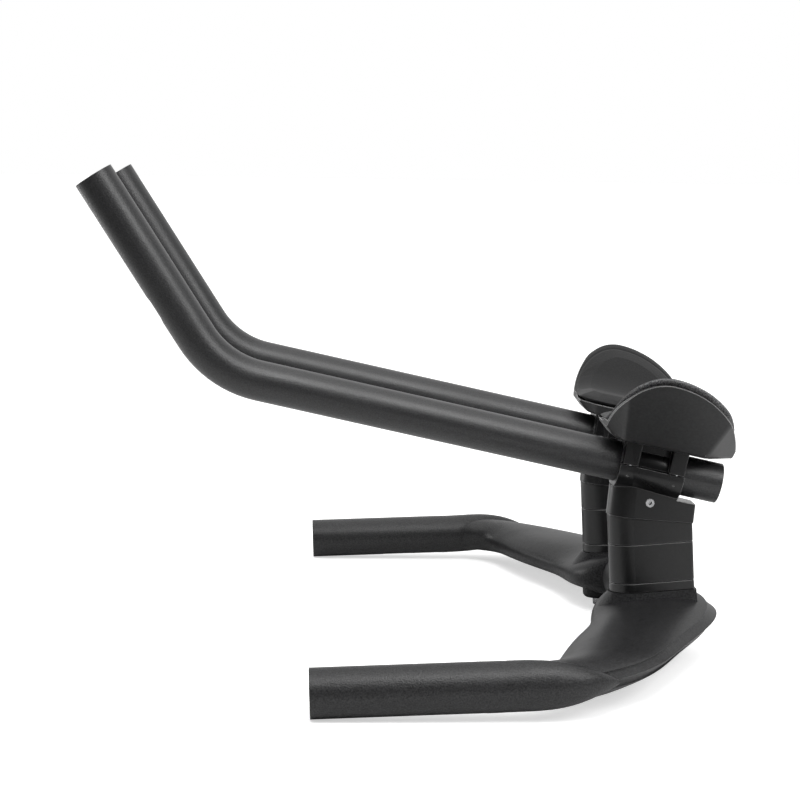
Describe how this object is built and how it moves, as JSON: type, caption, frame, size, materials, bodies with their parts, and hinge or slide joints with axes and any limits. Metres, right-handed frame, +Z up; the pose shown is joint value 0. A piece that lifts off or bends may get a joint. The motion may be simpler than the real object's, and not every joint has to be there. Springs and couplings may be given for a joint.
{
  "type": "aero handlebar",
  "caption": "Matte black time-trial handlebar: swept wing base bar with forward grips, stacked riser columns, bent clamp-on extension tubes and padded arm cups.",
  "frame": {"origin": "centre of the stem clamp land, in the middle of the bar", "axes": "+X forward along the grips, +Y to the rider's left along the clamp land, +Z up from the floor the bar stands on"},
  "size_m": [0.3625, 0.4258, 0.2644],
  "materials": {
    "bar_paint": "matte black with fine grain on grips, satin on wings",
    "tube_paint": "matte black with fine grain",
    "spacer_plastic": "matte",
    "bracket_metal": "matte black",
    "cup_plastic": "matte",
    "pad_fabric": "knitted cover over foam",
    "hook_tape": "hook-and-loop tape",
    "bolt_steel": "plain"
  },
  "bodies": {
    "root": {"base_bar": "bar_paint", "left_thin_spacer": "spacer_plastic", "left_tall_spacer": "spacer_plastic", "left_wedge_spacer": "spacer_plastic", "left_extension_bracket": "bracket_metal", "left_column_bolts": "bolt_steel", "left_set_screw": "bolt_steel", "left_extension": "tube_paint", "left_clamp_cap": "bracket_metal", "left_clamp_bolts": "bolt_steel", "left_arm_cup": "cup_plastic", "left_pad_patches": "hook_tape", "left_arm_pad": "pad_fabric", "right_thin_spacer": "spacer_plastic", "right_tall_spacer": "spacer_plastic", "right_wedge_spacer": "spacer_plastic", "right_extension_bracket": "bracket_metal", "right_column_bolts": "bolt_steel", "right_set_screw": "bolt_steel", "right_extension": "tube_paint", "right_clamp_cap": "bracket_metal", "right_clamp_bolts": "bolt_steel", "right_arm_cup": "cup_plastic", "right_pad_patches": "hook_tape", "right_arm_pad": "pad_fabric"}
  },
  "joints": []
}
